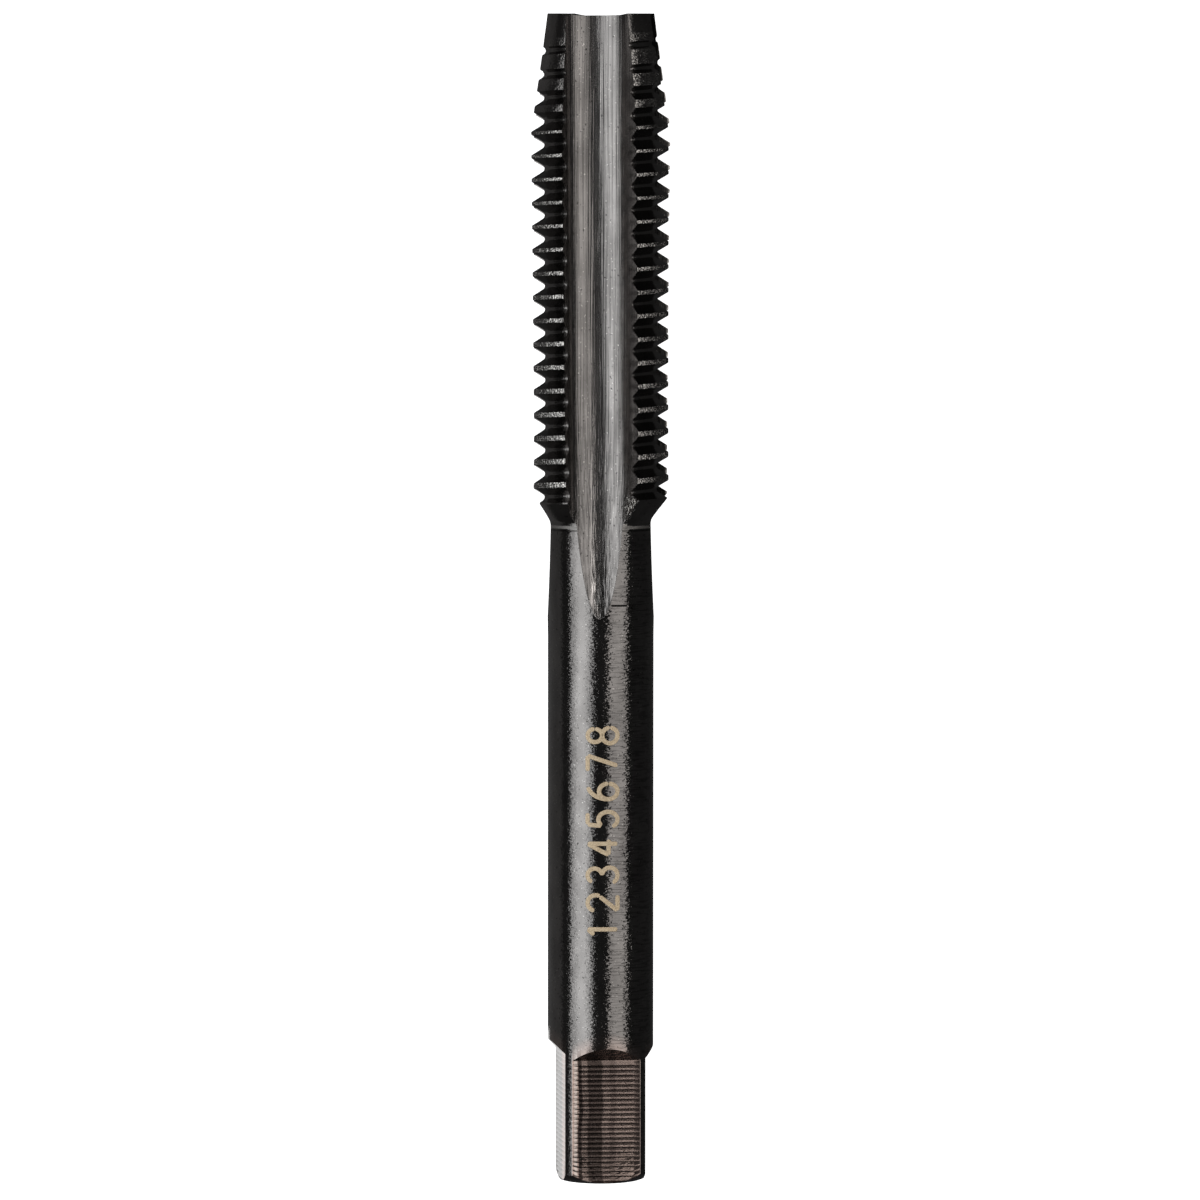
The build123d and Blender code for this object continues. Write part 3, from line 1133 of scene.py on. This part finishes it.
@dataclass
class Numbers:
    """Row of plain counting numbers printed along the shank, reading towards the tip.

    Each digit is a few strokes in a unit box, x to the right and y up.  A stroke is an ellipse's
    arc, given by its middle, its two radii and its first and last angle, or a straight line.
    Lengths are in millimetres, and rise is the print's height.
    """

    sizes: TapSizes
    start: float = 15.9
    pitch: float = 1.79
    width: float = 1.0
    height: float = 1.94
    baseline: float = 1.1
    stroke: float = 0.29
    rise: float = 0.012
    steps: int = 40
    around: int = 10
    cap_steps: int = 6

    DIGITS = range(1, 9)
    WELD = 1e-7
    LINES = {
        1: ((0.25, 0.78, 0.6, 1.0), (0.6, 1.0, 0.6, 0.0)),
        2: ((0.93, 0.6, 0.0, 0.0), (0.0, 0.0, 1.0, 0.0)),
        4: ((0.72, 0.0, 0.72, 1.0), (0.72, 1.0, 0.0, 0.3), (0.0, 0.3, 1.0, 0.3)),
        5: ((0.9, 1.0, 0.16, 1.0), (0.16, 1.0, 0.08, 0.54)),
        7: ((0.0, 1.0, 1.0, 1.0), (1.0, 1.0, 0.35, 0.0)),
    }
    ARCS = {
        2: ((0.5, 0.72, 0.5, 0.28, 170.0, -28.0),),
        3: ((0.48, 0.76, 0.44, 0.24, 160.0, -90.0), (0.48, 0.26, 0.5, 0.26, 90.0, -160.0)),
        5: ((0.48, 0.32, 0.5, 0.32, 140.0, -155.0),),
        6: ((0.5, 0.31, 0.5, 0.31, 0.0, 360.0), (0.95, 0.31, 0.95, 0.69, 180.0, 100.0)),
        8: ((0.5, 0.76, 0.42, 0.24, 0.0, 360.0), (0.5, 0.26, 0.5, 0.26, 0.0, 360.0)),
    }

    def strokes(self, digit: int) -> list[Array]:
        """Middle lines of a digit's strokes, as points in its unit box."""
        share = np.linspace(0.0, 1.0, self.steps)
        lines = []
        for x0, y0, x1, y1 in self.LINES.get(digit, ()):
            lines.append(np.stack((x0 + (x1 - x0) * share, y0 + (y1 - y0) * share), axis=1))
        for x, y, rx, ry, first, last in self.ARCS.get(digit, ()):
            turn = np.radians(first + (last - first) * share)
            lines.append(np.stack((x + rx * np.cos(turn), y + ry * np.sin(turn)), axis=1))
        return lines

    def ribbon(self, line: Array, place: float) -> Arrays:
        """Closed low ribbon along a stroke, wrapped on the shank.

        Its section is a flat ellipse, half the stroke wide and as high as the print.  Towards
        each end the section shrinks by sqrt(1 - (1 - d)^2), d the way to the end in half strokes,
        which rounds the end.

        Args:
            line: Middle line in the digit's unit box.
            place: Where the digit starts along Y.

        Returns:
            Points in millimetres, and faces.
        """
        middle = line * (self.width, self.height)
        steps = np.hypot(*np.diff(middle, axis=0).T)
        along = np.concatenate(([0.0], np.cumsum(steps)))
        half = self.stroke / 2
        cap = np.linspace(0.0, 1.0, self.cap_steps + 1)[:-1]
        total = along[-1]
        at = np.concatenate((cap * half, np.linspace(half, total - half, self.steps),
                             total - cap[::-1] * half))
        mid = np.stack([np.interp(at, along, middle[:, i]) for i in range(2)], axis=1)
        ahead = np.gradient(mid, at, axis=0)
        ahead /= np.linalg.norm(ahead, axis=1, keepdims=True)
        near = np.clip(np.minimum(at, total - at) / half, 0.0, 1.0)
        thick = np.sqrt(np.clip(1 - (1 - near) ** 2, 0.0, 1.0))
        turn = np.linspace(0.0, 2 * math.pi, self.around, endpoint=False)
        side = half * thick[:, None] * np.cos(turn)
        lift = self.rise * thick[:, None] * np.sin(turn)
        u = mid[:, :1] - ahead[:, 1:] * side
        v = mid[:, 1:] + ahead[:, :1] * side
        across = self.baseline - v
        radius = self.sizes.shank_r + lift
        angle = across / self.sizes.shank_r
        points = np.stack((radius * np.sin(angle), place + u, radius * np.cos(angle)), axis=-1)
        index = np.arange(len(at) * self.around).reshape(len(at), self.around)
        right = np.roll(index, -1, axis=1)
        faces = np.stack((index[:-1], index[1:], right[1:], right[:-1]), axis=-1)
        return points.reshape(-1, 3), faces.reshape(-1, 4)

    def build(self) -> bpy.types.Object:
        """Make the row of numbers as one object."""
        points, faces, count = [], [], 0
        for place, digit in enumerate(self.DIGITS):
            for line in self.strokes(digit):
                more, quads = self.ribbon(line, self.start + self.pitch * place)
                points.append(more)
                faces.append(quads + count)
                count += len(more)
        mesh = bpy.data.meshes.new("printed_numbers")
        mesh.from_pydata((np.vstack(points) * MM).tolist(), [], np.vstack(faces).tolist())
        work = bmesh.new()
        work.from_mesh(mesh)
        bmesh.ops.remove_doubles(work, verts=work.verts, dist=self.WELD)
        bmesh.ops.recalc_face_normals(work, faces=work.faces)
        work.to_mesh(mesh)
        work.free()
        mesh.shade_smooth()
        return link_object("printed_numbers", mesh)


@dataclass
class Studio:
    """Floor, world, strip lights and camera.  Lengths are in metres, angles in degrees."""

    sizes: TapSizes
    distance: float = 0.65
    frame_width: float = 0.07702
    aim: Floats = (-0.000048, 0.03741)
    lean: float = 3.29
    roll: float = 0.03
    sensor: float = 36.0
    clip: Floats = (0.01, 20.0)
    light_reach: float = 0.45
    light_length: float = 0.7
    floor_half: float = 3.0
    floor_gap: float = 0.00001
    floor_tone: float = 0.9
    mirrored: float = 0.035
    card_size: Floats = (0.0024, 0.0105)
    card_place: Floats = (-0.0042, 0.0042)
    card_gap: float = 0.0002

    COOL, WARM, WHITE = (0.965, 0.99, 1.0), (1.0, 0.975, 0.945), (1.0, 1.0, 1.0)
    # Each box: name, angle from straight up towards +X, width in degrees, brightness and tint.
    BOXES = (
        ("left_outer_strip", -62.0, 13.0, 1.3, COOL),
        ("left_box", -42.5, 26.0, 2.05, COOL),
        ("left_inner_strip", -24.3, 10.0, 1.3, COOL),
        ("right_box", 38.0, 40.0, 1.14, WARM),
        ("left_low_fill", -125.0, 62.0, 0.085, WHITE),
    )

    def build(self, body: bpy.types.Object) -> None:
        """Make everything round the tool.

        Args:
            body: The tool, which the floor has to touch and stay under.
        """
        self.floor(body)
        self.world()
        self.lights()
        self.camera()
        bpy.context.scene.view_settings.view_transform = "Standard"

    def floor(self, body: bpy.types.Object) -> None:
        """Pale floor under the end of the shank, leaned until it touches the thread.

        Args:
            body: The tool.
        """
        z = self.sizes
        points = mesh_points(body.data)
        foot = max(z.flat_lengths) + z.shank_r - z.flat
        far = points[points[:, 1] > z.shank_top]
        slope = math.atan(((-far[:, 2] - z.shank_r) / (far[:, 1] - foot)).max())
        mesh = bpy.data.meshes.new("floor")
        half = self.floor_half
        mesh.from_pydata([(-half, -half, 0), (half, -half, 0), (half, half, 0), (-half, half, 0)],
                         [], [(0, 1, 2, 3)])
        floor = link_object("floor", mesh)
        floor.rotation_euler = (-slope, 0.0, 0.0)
        floor.location = (0.0, foot * MM, -z.shank_r * MM - self.floor_gap)
        material = bpy.data.materials.new("pale_floor")
        material.use_nodes = True
        shader = material.node_tree.nodes["Principled BSDF"]
        for name, value in (("Base Color", rgba((self.floor_tone,) * 3)), ("Roughness", 0.9),
                            ("Emission Color", rgba(self.WHITE)), ("Emission Strength", 1.0)):
            shader.inputs[name].default_value = value
        mesh.materials.append(material)
        floor.visible_glossy = False

    def world(self) -> None:
        """White where the camera looks past the floor, and dim where the steel mirrors it."""
        world = bpy.data.worlds.new("studio")
        bpy.context.scene.world = world
        world.use_nodes = True
        tree = world.node_tree
        seen = tree.nodes.new("ShaderNodeLightPath").outputs["Is Camera Ray"]
        tone = mix_colours(tree, seen, rgba((self.mirrored,) * 3), rgba(self.WHITE))
        tree.links.new(tone, tree.nodes["Background"].inputs["Color"])

    def lights(self) -> None:
        """Soft boxes beside the camera, and a small card beside the driving square.

        The left box is dimmer towards its two edges, so it is made as three strips.
        """
        for box in self.BOXES:
            self.box(*box)
        card = self.panel("square_card", *self.card_size, 1.0)
        card.location = (*self.card_place, -self.sizes.shank_r * MM + self.card_gap)
        card.rotation_euler = (math.pi, 0.0, 0.0)

    def panel(self, name: str, across: float, along: float, radiance: float) -> bpy.types.Object:
        """A rectangular light that the camera doesn't see.

        Args:
            name: Name of the light.
            across: Its size along X.
            along: Its size along Y.
            radiance: Brightness of its surface.

        Returns:
            The light, at the origin and facing down.
        """
        light = bpy.data.lights.new(name, "AREA")
        light.shape = "RECTANGLE"
        light.size, light.size_y = across, along
        light.energy = radiance * math.pi * across * along
        obj = link_object(name, light)
        obj.visible_camera = False
        return obj

    def box(self, name: str, turn: float, width: float, radiance: float,
            tint: Floats) -> None:
        """One soft box parallel to the tool.

        Args:
            name: Name of the light.
            turn: Angle from straight up towards +X, in degrees.
            width: Angle that it covers, seen from the tool.
            radiance: Brightness of its surface.
            tint: Colour of its light.
        """
        across = 2 * self.light_reach * math.tan(math.radians(width / 2))
        obj = self.panel(name, across, self.light_length, radiance)
        obj.data.color = tint
        angle = math.radians(turn)
        obj.location = (self.light_reach * math.sin(angle), self.aim[1],
                        self.light_reach * math.cos(angle))
        obj.rotation_euler = (0.0, angle, 0.0)

    def camera(self) -> None:
        """Camera over the tool, leaned a little towards the tip, with the tip up in the picture."""
        data = bpy.data.cameras.new("camera")
        data.sensor_width = self.sensor
        data.lens = data.sensor_width * self.distance / self.frame_width
        data.clip_start, data.clip_end = self.clip
        obj = link_object("camera", data)
        turn = Euler((-math.radians(self.lean), 0.0, math.radians(self.roll)))
        back = turn.to_matrix() @ Vector((0.0, 0.0, self.distance))
        obj.location = Vector((self.aim[0], self.aim[1], 0.0)) + back
        obj.rotation_euler = turn
        bpy.context.scene.camera = obj


def place(piece: bpy.types.Object, material: bpy.types.Material) -> None:
    """Give a piece its finish, fix it to the tool and report it.

    Args:
        piece: The piece.
        material: Its finish.
    """
    piece.data.materials.append(material)
    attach(piece, "root")
    log.info("%s: %d faces, %.3f mm3", piece.name, len(piece.data.polygons), signed_volume(piece))


def main() -> None:
    """Build the tool and its studio."""
    logging.basicConfig(level=logging.INFO, format="%(name)s: %(message)s")
    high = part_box(NODE)[1]
    shank = next(m for m in frame["record"]["mounts"] if m["name"] == "shank")
    sizes = TapSizes(length=round(high[1] / MM, 3), shank_r=shank["dims"]["r_mm"])
    body = TapBody(sizes).build()
    place(body, OxideFinish(sizes).make())
    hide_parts(NODE)
    place(Numbers(sizes).build(), PrintFinish().make())
    Studio(sizes).build(body)


if __name__ == "__main__":
    main()
